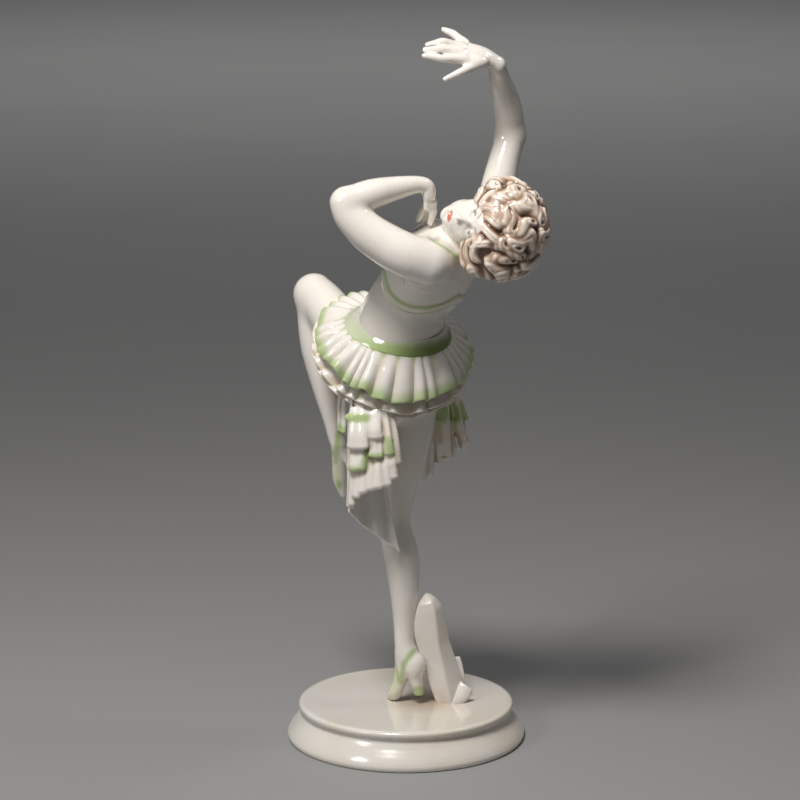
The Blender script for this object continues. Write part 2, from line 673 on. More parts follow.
figure += [
    head_limb([
        (0, 0.3, 0.075, 0.034), (0, 0.335, 0.0, 0.028),
        (0, 0.375, -0.09, 0.032), (0, 0.402, -0.15, 0.036),
    ], 1.0),
    head_lump(0.042, 0.35, -0.165, (0.027, 0.04, 0.026), 0.6),
    head_lump(-0.042, 0.35, -0.165, (0.027, 0.04, 0.026), 0.6),
    head_limb([(-0.078, 0.322, -0.296, 0.008), (-0.03, 0.356, -0.277, 0.018), (0, 0.36, -0.282, 0.017),
               (0.03, 0.356, -0.277, 0.018), (0.078, 0.322, -0.296, 0.008)], 0.4),
    head_limb([(-0.066, 0.325, -0.305, 0.008), (-0.02, 0.352, -0.32, 0.021), (0.02, 0.352, -0.32, 0.021),
               (0.066, 0.325, -0.305, 0.008)], 0.4),
    head_limb([
        (-0.075, 0.34, -0.299, 0.004), (0, 0.378, -0.3, 0.006), (0.075, 0.34, -0.299, 0.004),
    ], 0.5, "cut"),
    head_lump(0, 0.345, -0.375, (0.07, 0.035, 0.028), 1.0, "cut"),
]


def painted_face(points):
    """Distances in mm from each point to the painted lash, brow, iris and lip lines."""
    left, out, up = HEAD_AXES @ (points - HEAD).T / HEAD_HEIGHT
    away = np.where((out > 0.15) & (out < 0.6) & (np.abs(left) < 0.4) & (np.abs(up) < 0.5), 0, FAR)
    across = np.abs(left) - EYE[0]
    lid = EYE[2] + 0.028 * (1 - (across / 0.075) ** 2)
    lash = np.abs(up - lid) + np.maximum(np.abs(across) - 0.066, 0) * 2
    arch = 0.088 + 0.022 * (1 - ((across - 0.02) / 0.09) ** 2)
    brow = np.abs(up - arch) + np.maximum(np.abs(across) - 0.085, 0) * 2
    iris = np.hypot(across, up - EYE[2] - 0.004) - 0.024
    edge = np.clip(np.abs(left) / 0.08, 0, 1)
    top = -0.298 + 0.036 * (1 - edge**1.6) - 0.01 * np.exp(-(left / 0.016) ** 2)
    low = -0.3 - 0.04 * (1 - edge**2)
    lips = np.maximum(up - top, low - up) + np.maximum(np.abs(left) - 0.08, 0)
    return {name: away + line * HEAD_HEIGHT for name, line in
            {"lash": lash, "brow": brow, "iris": iris, "lips": lips}.items()}


# The colours on the figure are thin washes sprayed and brushed on before the glaze: green along
# the edges of the bodice and the shoes, and the fine lines of the face.
GREEN = (0.36, 0.50, 0.16, 1)
PALE_GREEN = (0.62, 0.68, 0.38, 1)
DEEP_GREEN = (0.13, 0.19, 0.05, 1)
LIP_RED = (0.62, 0.13, 0.07, 1)
LINE_BROWN = (0.16, 0.08, 0.05, 1)
PAINTS = [  # line, unevenness, mm from it where it is full and where it is gone, strength, paint
    ("tint", 1.2, 0.2, 3.5, 0.6, PALE_GREEN), ("trim", 1.2, 0.3, 2.1, 0.78, GREEN),
    ("lips", 0, -0.15, 0.2, 0.85, LIP_RED), ("iris", 0, -0.1, 0.15, 0.7, LINE_BROWN),
    ("brow", 0, 0.15, 0.5, 0.6, LINE_BROWN), ("lash", 0, 0.1, 0.35, 0.85, LINE_BROWN),
]


def figure_colour(tree, place):
    """White porcelain under the painted lines that the mesh's own numbers place."""
    tone = noise(tree, place, 30)
    colour = (tone.ramp(0.3, 0.75) * 0.35).between(BODY_WHITE, CREAM)
    for name, uneven, start, end, strength, paint in PAINTS:
        away = number_at(tree, name) + tone * uneven
        colour = ((1 - away.ramp(start, end)) * strength).between(colour, paint)
    return colour


SKIN_STEP = 0.84
HEAD_STEP = 0.44
figure_axes = [
    stops(-50, 51, SKIN_STEP, (16, 34, HEAD_STEP)),
    stops(-52, 46, SKIN_STEP, (-49, -24, HEAD_STEP)),
    stops(14.5, 302, SKIN_STEP, (206, 240, HEAD_STEP)),
]
points, faces = skin(figure, figure_axes)
points = settle(points, figure)


def outward_at(points, parts):
    """The direction straight out of the parts at each of those points."""
    here = distance_to(points, parts)
    slope = np.stack([distance_to(points + way, parts) - here for way in np.eye(3) * 0.05], axis=1)
    return slope / np.maximum(np.linalg.norm(slope, axis=1), 1e-9)[:, None]


def strokes(points, lines):
    """Distance in mm from painted lines, each with half its width."""
    return distance_to(points, [
        (Limb([(spot, width) for spot in line]), 0.6, "add") for line, width in lines
    ])


def fade(value, start, end):
    """From 0 at start to 1 at end, smoothly."""
    share = np.clip((value - start) / (end - start), 0, 1)
    return share * share * (3 - 2 * share)


HEM_BREADTH = 3.5  # the raised hem of the bodice
HEM_RAISE = 0.6  # how far it stands off the body
HEM_LEVEL = 193.3  # its height in the middle of the near side
HEM_FALL = 0.264  # how fast the hem falls to the right
HEM_CLIMB = 1.395  # how steeply it rises from the near side before it runs nearly level
beside = points[:, 1] + 22
slope = HEM_CLIMB * np.exp(-np.maximum(beside, 0) / 4)
lift = 1 - 0.75 * fade(points[:, 0], -6, 26)  # it rises less on the right
climb = np.where(beside < 0, HEM_CLIMB * beside, 4 * (HEM_CLIMB - slope) * lift)
hem = HEM_LEVEL - HEM_FALL * points[:, 0] + climb
above = (points[:, 2] - hem) / np.sqrt(1.07 + slope**2)
arm_line = [((14, -37, 207), 9.6), ((-9, -37.5, 217), 8.6), ((-24, -33, 232), 6)]
near_arm = [(Limb(arm_line), 1, "add")]
on_trunk = fade(distance_to(points, trunk), 1.4, 0.5) * fade(distance_to(points, near_arm), 0, 1)
on_trunk *= points[:, 2] > 180
band = fade(above, -0.4, 0.4) * fade(above, HEM_BREADTH + 0.6, HEM_BREADTH - 0.2)
points = points + outward_at(points, figure) * (band * on_trunk * HEM_RAISE)[:, None]
hem_lines = np.minimum(np.abs(above), np.abs(above - HEM_BREADTH)) - 0.15
TRIM_LINES = [  # painted lines, each with half its width
    ([(5.5, -30, 220), (11.4, -39.5, 218), (16.6, -38.8, 214.7), (20.3, -33.2, 211)], 0.45),
    ([(8.4, -5.4, 37), (6, -6.5, 39.4), (2.6, -9, 38.6), (-0.8, -8.6, 33.2), (-2.5, -7.1, 25.2)], 0.5),
    ([(-2.5, -7.1, 25.2), (-4.6, -6.2, 31.5), (-5, -2, 37)], 0.4),
    ([(5.3, -7.5, 22), (5.5, -7, 18)], 1.6),
    ([(-28.4, 21.5, 127), (-29.3, 19.7, 121.8), (-30, 21.9, 113.8)], 0.5),
    ([(-31, 21.6, 118.3), (-31, 21.6, 117)], 0.6), ([(-28.6, 23.6, 104.8), (-28.6, 23.6, 102)], 0.6),
]
TINT_LINES = [
    ([(-5.5, -5, 26), (-7, -6, 19)], 1.6), ([(-30, 22, 112), (-29.6, 23, 102)], 0.8),
]
trim = np.minimum(strokes(points, TRIM_LINES), hem_lines + (1 - on_trunk) * FAR)
FIGURE_GLAZE = glaze("figure_glaze", figure_colour)
dancer = mesh_of(
    "dancer", points, faces, FIGURE_GLAZE,
    {"trim": trim, "tint": strokes(points, TINT_LINES), **painted_face(points)},
)
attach(dancer, "root")
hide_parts("figurine")


# The hair is a thick mass of short curls, carved one by one in the model and washed with thin
# brown that stays in the hollows. Locks sweep back from the brow; among the rest are snail curls
# with a hole in the middle and shorter locks.
HAIR = point(39.8, -33.5, 221.2)
HAIR_SIZES = np.array((19.0, 15.9, 15.5))  # half sizes to the left, to the face and to the crown
WINDOW = HEAD_AXES @ (on_head(0, 0.62, -0.3) - HAIR)  # the middle of the opening for the face
WINDOW_SIZES = np.array((0.38, 0.5, 0.53)) * HEAD_HEIGHT
BUNCHES = [  # fuller places of the mass: the way to each, its rise and its spread
    ((0.8, 0.28, -0.42), 2.8, 7.0), ((-0.85, 0.36, -0.4), 3.0, 8.0), ((-0.3, 0.3, 0.8), 0.8, 6.0),
]
BROW_LOCKS = 14  # locks round the face, before those under the chin are left out
CURLS = 92  # places for curls spread evenly over the mass; some make way for the brow locks
LOCK_SHARE = 0.3  # how many of those curls are locks and not snail curls
STRAND = 2.4  # width of one carved strand
STRAND_DEPTH = 0.35
MEETING = 1.2  # how many mm the meeting of two curls is rounded over


def mass_at(ways):
    """Places on the smooth mass under the curls, in unit directions of (left, face, crown)."""
    places = ways / np.linalg.norm(ways / HAIR_SIZES, axis=-1)[..., None]
    for way, rise, spread in BUNCHES:
        middle = unit(way) / np.linalg.norm(unit(way) / HAIR_SIZES)
        away = np.sum((places - middle) ** 2, axis=-1)
        places = places + ways * (rise * np.exp(-away / spread**2))[..., None]
    return places


def window_at(ways):
    """How far from the middle each direction meets the opening for the face."""
    scaled, middle = ways / WINDOW_SIZES, WINDOW / WINDOW_SIZES
    square, across = np.sum(scaled**2, axis=1), scaled @ middle
    inside = across**2 - square * (middle @ middle - 1)
    meet = (across - np.sqrt(np.maximum(inside, 0))) / square
    return np.where((inside > 0) & (across > 0), meet, FAR)


random.seed(12)
waves = np.array([[random.gauss(0, 0.28) for _ in range(3)] for _ in range(12)])
shifts = np.array([[random.uniform(-1, 1) for _ in range(4)] for _ in range(12)])


def wander(places):
    """Pushes places about by a smooth, uneven 2 mm, so that no two curls are alike."""
    phase = places @ waves.T + shifts[:, 3] * math.pi
    return places + np.sin(phase) @ shifts[:, :3] * 0.75


curls = []  # each is its way, first tangent, half length, half width, hand, rise and kind
face_way = unit(WINDOW)
side_way = unit(np.cross(face_way, (0, 0, 1)))
over_way = np.cross(face_way, side_way)
for i in range(BROW_LOCKS):
    angle = i / BROW_LOCKS * TURN
    around = side_way * math.cos(angle) + over_way * math.sin(angle)
    tilts = np.linspace(0.3, 1.7, 60)
    ways = face_way * np.cos(tilts)[:, None] + around * np.sin(tilts)[:, None]
    rim = tilts[np.argmax(window_at(ways) > HAIR_SIZES[1])] + 0.3
    if around @ (0, -0.2, -1) > 0.62:
        continue
    way = face_way * math.cos(rim) + around * math.sin(rim)
    along = around * math.cos(rim) - face_way * math.sin(rim)
    along = unit(along + np.cross(way, along) * random.uniform(-0.25, 0.25))
    long = random.uniform(5.6, 7.4)
    hand = random.choice((-1, 1))
    curls.append((way, along, long, 3.3, hand, random.uniform(1.4, 2.1), "lock"))
locks = len(curls)
for i in range(CURLS):
    across = 1 - 2 * (i + 0.5) / CURLS
    angle = i * math.pi * (3 - math.sqrt(5))
    ring = math.sqrt(1 - across * across)
    way = unit(np.array([across, ring * math.cos(angle), ring * math.sin(angle)])
               + [random.uniform(-0.06, 0.06) for _ in range(3)])
    near = [np.linalg.norm(mass_at(way) - mass_at(other[0])) / other[3] for other in curls[:locks]]
    if min(near) < 1.05 or window_at(way[None])[0] < HAIR_SIZES[1]:
        continue
    back = way * (way @ face_way) - face_way
    along = unit(unit(back) + np.cross(way, unit(back)) * random.uniform(-1.1, 1.1))
    size = random.uniform(3.0, 4.2)
    if random.random() < LOCK_SHARE:
        long, kind = random.uniform(4.6, 6.2), "lock"
    else:
        long, kind = size * random.uniform(1.2, 2.0), "snail"
    curls.append((way, along, long, size, random.choice((-1, 1)), random.uniform(1.0, 2.8), kind))

ball = bmesh.new()
bmesh.ops.create_icosphere(ball, subdivisions=7, radius=1)
ways = np.array([vert.co for vert in ball.verts])
ways /= np.linalg.norm(ways, axis=1)[:, None]
faces = np.array([[vert.index for vert in face.verts] for face in ball.faces])
ball.free()
smooth = mass_at(ways)
rise = np.full(len(ways), -1.3)
carved = wander(smooth)
for way, along, length, width, hand, top, kind in curls:
    off = carved - wander(mass_at(way))
    over = np.cross(way, along)
    a, b = off @ along, off @ over
    if kind == "lock":
        b = b - hand * 1.5 * np.sin(np.clip(a / length, -1.2, 1.2) * 2.4)
        turns = b / STRAND + 0.5
        hole = 0
    else:
        b = b - hand * 0.12 * a * a / length
        far = np.hypot(a - 0.3 * length, b)
        turns = hand * np.arctan2(b, a - 0.3 * length) / TURN + far / STRAND + 0.25
        hole = 1.3 * np.exp(-(far / 0.8) ** 2)
    strand = 1 - (2 * (turns - np.round(turns))) ** 2
    dome = top - 2.4 * ((a / length) ** 2 + (b / width) ** 2) ** 1.3
    near = np.sum(off**2, axis=1) < 14**2
    height = np.where(near, dome + STRAND_DEPTH * (strand - 1) - hole, -9)
    rise = -rounded(-rise, -height, MEETING)
radius = np.linalg.norm(smooth, axis=1) + rise
radius = rounded(radius, window_at(ways), 1.6)
points = HAIR + (ways * radius[:, None]) @ HEAD_AXES
ends = np.concatenate([faces, np.roll(faces, 1, axis=1)]).ravel()
others = np.concatenate([np.roll(faces, 1, axis=1), faces]).ravel()
around = rise
for _ in range(24):  # the wash pools where a place is lower than what is round it
    around = np.bincount(ends, around[others]) / np.bincount(ends)
pooled = 0.5 + (rise - around) * 0.75 + (rise - 0.8) * 0.1


def hair_colour(tree, place):
    """Pinkish beige where the curls stand up, and dark brown where the wash ran together."""
    depth = number_at(tree, "height")
    patch = noise(tree, place, 180)
    return Wire.node(tree, "ShaderNodeValToRGB", {"stops": [
        (0.0, (0.15, 0.085, 0.055)), (0.3, (0.34, 0.215, 0.15)),
        (0.56, (0.56, 0.425, 0.33)), (0.82, (0.81, 0.72, 0.63)),
    ]}, {"Fac": depth + (patch - 0.5) * 0.3})


HAIR_GLAZE = glaze("hair_glaze", hair_colour, gloss=0.14)
hair = mesh_of("hair", points, faces, HAIR_GLAZE, {"height": np.clip(pooled, 0, 1)})
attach(hair, "root")
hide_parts("figurine")


# The skirt is a tutu of three pleated flounces under a smooth waistband. Each was pressed as a
# ribbon of porcelain paste, pleated by hand and laid on the hips, the top one sprayed green.
WAIST = point(-3.6, -3, 175.7)
BAND_UP = unit((0.15, -0.33, 0.93))
BAND_BREADTH = 20.3
BAND_DEPTH = 18.9
RIM_UP = unit((0.2, -0.52, 0.83))
RIM_CENTRE = point(-5.4, 3.4, 166.8)
RIM_RADIUS = 32.8


def ring_axes(up):
    """The two level directions of a ring that faces up, the first of them to the right."""
    side = unit(np.array([1, 0, 0]) - up * up[0])
    return side, np.cross(up, side)


def flounce_tree(name, material, hem, steps=385):
    """A tree for a pleated ring of cloth from a waist ring down to a rim ring."""
    vector, number = "NodeSocketVector", "NodeSocketFloat"
    tree, given = new_tree(name, {
        "Waist": vector, "Waist side": vector, "Waist back": vector, "Rim": vector, "Rim side": vector,
        "Rim back": vector, "Up": vector, "Pleats": number, "Depth": number, "Dome": number,
        "Lip": number, "Bend": number, "Wander": number, "Box": number, "Swell": number,
        "Spread": number,
    })
    mesh, around, along = grid(tree, steps, 22)
    angle = around * TURN
    drift = (angle * 3 + 0.7).sin() * 0.6 + (angle * 7 + 2.1).sin() * 0.4
    drift = drift + (angle * 12 + 0.4).sin() * 0.25
    phase = angle * (given["Pleats"] * 0.5) + drift * given["Wander"] + along * given["Bend"]
    ridge = abs(phase.cos()) ** given["Box"]
    deep = given["Depth"] * ((angle * 5 + 1).sin() * 0.2 + (angle * 11 + 2).sin() * 0.2 + 0.85)
    wave = (ridge - 0.5) * deep * along.ramp(-0.02, 0.75)
    lift = Wire.node(tree, "ShaderNodeFloatCurve", {"curve": hem}, {"Value": around})
    drop = (lift - 0.5) * -0.008 * along.ramp(0.45, 1)
    fall = given["Lip"] * along ** 6
    swell = (along * math.pi).sin()
    stretch = 1 + wave * given["Spread"] * along ** 3 + swell * given["Swell"]
    waist = given["Waist side"] * angle.cos() + given["Waist back"] * angle.sin() + given["Waist"]
    rim = (given["Rim side"] * angle.cos() + given["Rim back"] * angle.sin()) * stretch + given["Rim"]
    rise = wave + swell * given["Dome"] - fall - drop
    place = waist + (rim - waist) * along + given["Up"] * rise
    for label, value in {"down": along, "ridge": ridge}.items():
        mesh = Wire.node(
            tree, "GeometryNodeStoreNamedAttribute", {"data_type": "FLOAT", "domain": "POINT"},
            {"Geometry": mesh, "Name": label, "Value": value},
        )
    shaped = Wire.node(tree, "GeometryNodeSetPosition", inputs={"Geometry": mesh, "Position": place})
    finish_tree(tree, shaped, material)
    return tree


def skirt_colour(green_from, green_to, cloth, crest=BODY_WHITE):
    def colour_of(tree, place):
        """Glazed white on the ridges, creamier in the valleys, green towards the hem and band."""
        down = number_at(tree, "down")
        ridge = number_at(tree, "ridge")
        patch = noise(tree, place, 110)
        white = ridge.ramp(0.1, 0.9).between(cloth, crest)
        hem = (down + (patch - 0.5) * 0.28).ramp(green_from, green_to)
        top = 1 - (down + (ridge - 0.7) * 0.12 + (patch - 0.5) * 0.1).ramp(0.0, 0.17)
        return (hem * 0.75 + top * 0.65).ramp(0, 1, smooth=False).between(white, GREEN)
    return colour_of


def band_colour(tree, place):
    """Green all over, paler along the top and darker where it has run down on the right."""
    down = number_at(tree, "down")
    patch = noise(tree, place, 110)
    right = Wire.node(
        tree, "ShaderNodeVectorMath", {"operation": "DOT_PRODUCT"}, {0: place, 1: (1, 0, 0)}, out=1
    )
    wash = (down + (patch - 0.5) * 0.6).ramp(-0.35, 0.9) * (right.ramp(-0.028, -0.01) * 0.45 + 0.4)
    green = wash.between(BODY_WHITE, GREEN)
    pool = (down + (patch - 0.5) * 0.4).ramp(-0.1, 0.7) * right.ramp(-0.016, 0.006) * 0.9
    return pool.between(green, DEEP_GREEN)


def ring_of(label, middle, axes, breadth, depth):
    """The named values of one of the two rings that a flounce runs between."""
    side, back = axes
    return {label: middle * MM, label + " side": side * breadth * MM, label + " back": back * depth * MM}


def thicken(piece, thickness, offset=-1):
    """Gives a thin piece its thickness in mm, inward unless the offset says otherwise."""
    solid = piece.modifiers.new("thickness", "SOLIDIFY")
    solid.thickness = thickness * MM
    solid.offset = offset
    soft = piece.modifiers.new("soft_edges", "SUBSURF")
    soft.levels = soft.render_levels = 1


FLAT_HEM = [(0, 0.5), (1, 0.5)]  # round the ring from 0 to 1, and how high the hem is lifted
LOW_HEM = [(0, 0.5), (0.1, 0.58), (0.3, 0.5), (0.55, 0.5), (0.62, 0.42), (0.7, 0.46), (0.78, 0.36),
           (0.84, 0.55), (1, 0.5)]
HEM = [(0, 0.62), (0.08, 0.4), (0.25, 0.5), (0.45, 0.5), (0.56, 0.48), (0.6, 0.75), (0.63, 0.45),
       (0.67, 0.42), (0.685, 0.66), (0.71, 0.42), (0.76, 0.36), (0.79, 0.55), (0.82, 0.5),
       (0.86, 0.72), (0.92, 0.6), (1, 0.62)]
TOP_GLAZE = glaze("top_flounce_glaze", skirt_colour(0.72, 0.97, CREAM))
LOW_CREAM = (0.74, 0.65, 0.5, 1)
LOW_WHITE = (0.79, 0.745, 0.67, 1)
LOW_GLAZE = glaze("low_flounce_glaze", skirt_colour(1.4, 1.6, LOW_CREAM, LOW_WHITE))
BAND_GLAZE = glaze("band_glaze", band_colour)
PLEATING = ("Pleats", "Depth", "Dome", "Lip", "Bend", "Wander", "Box", "Swell", "Spread")
ROUNDS = {  # start (out from the waist, rise), rim (radius change, drop), then the PLEATING values
    "top_flounce": (
        TOP_GLAZE, HEM, (0.4, 0.4), (-0.4, -1.6), (31, 3.2, 0.7, 1.0, 0.5, 1.8, 1.5, 0, 18),
    ),
    "middle_flounce": (
        LOW_GLAZE, LOW_HEM, (-4, -4), (0.3, 5.6), (23, 2.5, -0.4, -0.8, 1.6, 1.6, 1.9, 0, 26),
    ),
    "bottom_flounce": (
        LOW_GLAZE, LOW_HEM, (-6, -7), (-0.5, 9.0), (19, 2.6, -0.4, -0.8, 1.2, 1.6, 1.9, 0, 26),
    ),
}
band_axes, rim_axes = ring_axes(BAND_UP), ring_axes(RIM_UP)
for name, (material, hem, (out, rise), (wider, drop), pleats) in ROUNDS.items():
    values = dict(zip(PLEATING, pleats)) | {"Up": RIM_UP}
    for label in ("Depth", "Dome", "Lip"):
        values[label] *= MM
    values |= ring_of("Waist", WAIST + BAND_UP * rise, band_axes, BAND_BREADTH + out, BAND_DEPTH + out)
    radius = RIM_RADIUS + wider
    values |= ring_of("Rim", RIM_CENTRE - RIM_UP * drop, rim_axes, radius, radius)
    ring = grow(name, flounce_tree(name, material, hem), values, material)
    thicken(ring, 1.2)
    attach(ring, "root")
    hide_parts("figurine")
BAND_LEAN = point(2.2, -1, 4.8)  # the way the trunk leaves the band
values = {"Up": BAND_UP, "Pleats": 2, "Depth": 0, "Box": 1, "Swell": 0.03}
values |= ring_of("Waist", WAIST + BAND_LEAN * 0.85, band_axes, BAND_BREADTH - 3.2, BAND_DEPTH - 3.2)
values |= ring_of("Rim", WAIST - BAND_UP * 0.6, band_axes, BAND_BREADTH + 1.0, BAND_DEPTH + 1.0)
band = grow("waistband", flounce_tree("waistband", BAND_GLAZE, FLAT_HEM, 129), values, BAND_GLAZE)
thicken(band, 1.6)
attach(band, "root")
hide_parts("figurine")


# Two tails of tiered, box-pleated frills hang from the flounces at the near left and the far
# right, and a short frill beside the raised leg. Each fold is a roll of paste, stuck on by hand,
# and a thin smooth lining hangs behind the near tail.
NEAR_FOLDS = [  # the line of each fold from its top to its hem, half its width and half its depth
    ([(-23.8, -20.5, 142.4), (-21.3, -21.6, 142.8), (-17.2, -22, 143), (-11.1, -20.8, 143.6),
      (-6.8, -19.6, 144.7)], 1.9, 1.4),
    ([(-14.7, -19.2, 146.9), (-14.4, -22.4, 133.5), (-14.4, -22.2, 121.7)], 8.4, 0.9),
    ([(-21.5, -19.4, 145.3), (-21.7, -24, 137.2), (-21.9, -25, 131.6)], 2.3, 1.6),
    ([(-18.4, -19.6, 146.1), (-18.4, -24.4, 137.3), (-18.6, -25.8, 131.8)], 3.1, 1.8),
    ([(-15.4, -19.4, 146.1), (-15.4, -23.6, 139.7), (-15.7, -24.4, 133.1)], 1.5, 1.2),
    ([(-12.3, -19.8, 146.2), (-12.7, -24.4, 139), (-12.7, -25.2, 135.8)], 2.9, 1.6),
    ([(-8.6, -19.6, 146.1), (-7.3, -24, 135.6), (-6.8, -25.2, 128.9)], 1.5, 1.4),
    ([(-6.6, -19, 146), (-4.3, -23, 133.7), (-3.5, -23.8, 124.6)], 1.6, 1.2),
    ([(-14.1, -24, 135.6), (-14.3, -25, 131.2), (-14.4, -26, 128.1)], 1, 1),
    ([(-12.3, -24.2, 135.6), (-12.5, -25.2, 131.2), (-12.5, -26.2, 127.7)], 1.05, 1),
    ([(-10.5, -24, 135.6), (-10.6, -25, 131.2), (-10.5, -26, 127.9)], 0.95, 1),
    ([(-21.3, -22.4, 133.5), (-21.5, -23.8, 126.3), (-21.6, -24.8, 121.9)], 2, 1.4),
    ([(-18.5, -22.8, 133.6), (-18.7, -24.4, 127.3), (-19.5, -25.4, 122.9)], 2.6, 1.6),
    ([(-15.8, -23, 130.7), (-16.2, -24, 127.6), (-17.4, -24.6, 124)], 1.4, 1.1),
    ([(-8.2, -23.2, 128.7), (-7.4, -24, 125.5), (-6.6, -24.6, 124)], 2.2, 1),
    ([(-21.6, -22, 124.2), (-22, -22.6, 114.6), (-22.4, -23.2, 107.2)], 1.58, 1.4),
    ([(-19.3, -22.6, 124.3), (-19.7, -23.8, 117), (-20.1, -24.8, 111)], 1.67, 1.55),
    ([(-17, -22.8, 125.2), (-17.2, -24.2, 118.4), (-17.5, -25.4, 113.2)], 1.77, 1.71),
    ([(-14.6, -22.8, 126.1), (-14.4, -24.6, 120.6), (-14.2, -26, 114.6)], 1.86, 1.71),
    ([(-11.7, -23, 126.9), (-11.3, -25.2, 121.6), (-11, -26.6, 115.6)], 1.95, 1.86),
    ([(-8.6, -22.8, 127.3), (-8.1, -24.8, 122.3), (-7.7, -26, 116.3)], 1.86, 1.71),
    ([(-6, -22.6, 129.4), (-5.4, -24, 124.2), (-5, -25, 119)], 1.67, 1.55),
    ([(-22.8, -17, 141.4), (-22.7, -20.5, 116.2), (-22.8, -20.5, 105.2)], 2, 0.9),
]
NEAR_STROKES = [  # lines of green, each with half its width
    ([(-24.6, -22, 142.4), (-20, -23.4, 142.8), (-16.3, -23.6, 143)], 1.4),
    ([(-7.2, -25.2, 133.7), (-6.8, -26.4, 129)], 1.3),
    ([(-14.9, -26.8, 128), (-12.3, -27, 127.7), (-9.8, -26.8, 128)], 1),
    ([(-15.4, -24.6, 131.1), (-16, -25.4, 127.5), (-17.4, -26, 123.9)], 0.9),
    ([(-23, -25, 121.5), (-20.1, -26.4, 121.9), (-17.8, -26.2, 123.1)], 1),
]
FAR_FOLDS = [
    ([(16.9, 16.6, 145.4), (18.2, 18.4, 138.1), (19.1, 20.4, 129.4)], 2.9, 1.1),
    ([(20.3, 16, 145.5), (22, 17.6, 138.3), (23.4, 19.4, 131)], 2.8, 1.1),
    ([(21.9, 15, 145.8), (23.7, 16.4, 138.6), (25.2, 17.2, 134.1)], 1.9, 1),
    ([(14.4, 17.5, 145.2), (15.1, 19.6, 137.9), (15.3, 21.6, 129.6)], 2.6, 1.1),
    ([(17.8, 18.2, 133), (18.7, 19.8, 125.7), (19.6, 21.1, 121)], 2.8, 1.1),
    ([(21.2, 17.6, 133.1), (22.5, 18.8, 127.6), (23.9, 20.5, 120.7)], 2.6, 1.1),
    ([(23.3, 16.6, 131.6), (24.8, 17.8, 126.1), (25.7, 18.6, 123.3)], 1.6, 1),
    ([(12.8, 19.6, 132.7), (13.2, 21, 123.7), (13.3, 22.4, 114.2)], 2.8, 1),
    ([(15.7, 19.2, 132.8), (16.4, 20.8, 123.7), (17.1, 22, 116)], 2.8, 1),
    ([(18.3, 18.6, 128.5), (19, 20, 121.7), (19.4, 20.8, 117.2)], 2.2, 1),
    ([(10.2, 20.2, 132.5), (10, 21.4, 121.4), (9.7, 22.8, 108.8)], 2.6, 0.9),
    ([(7.7, 20.6, 132.4), (7.3, 21.8, 119.1), (7.1, 23, 106.1)], 1.9, 0.9),
    ([(14.4, 17.2, 145.3), (14.9, 19, 128.5), (14.9, 20.6, 118.5)], 6.5, 0.9),
    ([(19.4, 16, 145.5), (21.2, 17, 136.7), (22.9, 18.4, 126)], 4.4, 0.8),
]
FAR_STROKES = [
    ([(14.9, 19, 138.1), (19.5, 20, 136.6), (23.7, 18.6, 137.8)], 5.6),
    ([(15.8, 21, 131.5), (20, 21.5, 130.1), (24.2, 20, 132)], 3.4),
]
FAR_CREAM = [  # where the glaze is left cream
    ([(15, 21, 126), (20, 21.5, 124.6), (25, 20, 126.5)], 3.6),
]
SIDE_FOLDS = [
    ([(-25.4, -10, 146.8), (-25.6, -10.5, 140.1), (-26, -11, 134.7)], 1.6, 1.1),
    ([(-27.3, -7, 146.1), (-27.3, -7.5, 140.3), (-27.6, -8, 134.9)], 1.7, 1.1),
]
SIDE_STROKES = [
    ([(-28.6, -9, 136), (-26.4, -12, 135.4), (-24.3, -15, 134.8)], 1.3),
]


def frill_colour(tree, place):
    """Cream glaze with strokes of green that fade unevenly at their edges."""
    away = number_at(tree, "trim")
    depth = number_at(tree, "open")
    patch = noise(tree, place, 110)
    white = (depth + (patch - 0.5) * 0.6).ramp(0.1, 0.9).between((0.62, 0.53, 0.41, 1), BODY_WHITE)
    green = (1 - (away + (patch - 0.5) * 2.4).ramp(-0.6, 1.7)) * 0.8
    return green.between(white, GREEN)


FRILL_GLAZE = glaze("frill_glaze", frill_colour)
FRILL_STEP = 0.32
TUCKED_FROM = 144  # folds that start above this height run on up under the flounces
for name, folds, lines, cream, root in (  # root is the way that they run on
    ("near_tail", NEAR_FOLDS, NEAR_STROKES, [], None),
    ("far_tail", FAR_FOLDS, FAR_STROKES, FAR_CREAM, (-3, -5, 19)),
    ("side_frill", SIDE_FOLDS, SIDE_STROKES, [], (2, 2, 12)),
):
    frills = []
    for line, width, depth in folds:
        out = unit(np.array(line[1]) * (1, 1, 0) + (8, 0, 0))
        wide = [(spot, width * size, depth) for spot, size in zip(line, (0.8, 0.95, 1.15, 1, 1))]
        if root and line[0][2] > TUCKED_FROM:
            wide.insert(0, (np.array(line[0]) + root, width * 0.7, depth))
        frills.append((Limb(wide, out), 1.4, "add"))
    low = np.min([part.low for part, _, _ in frills], axis=0) - 1.5
    high = np.max([part.high for part, _, _ in frills], axis=0) + 1.5
    points, faces = skin(frills, [stops(a, b, FRILL_STEP) for a, b in zip(low, high)])
    points = settle(points, frills)
    slope = np.stack([distance_to(points + way, frills) for way in np.eye(3) * 0.05], axis=1)
    raised = points + slope / np.linalg.norm(slope, axis=1)[:, None]
    open_share = np.clip(distance_to(raised, frills) * 1.6 - 0.6, 0, 1)
    if cream:
        open_share *= fade(strokes(points, cream), -1, 2)
    numbers = {"trim": strokes(points, lines), "open": open_share}
    piece = mesh_of(name, points, faces, FRILL_GLAZE, numbers)
    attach(piece, "root")
    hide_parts("figurine")
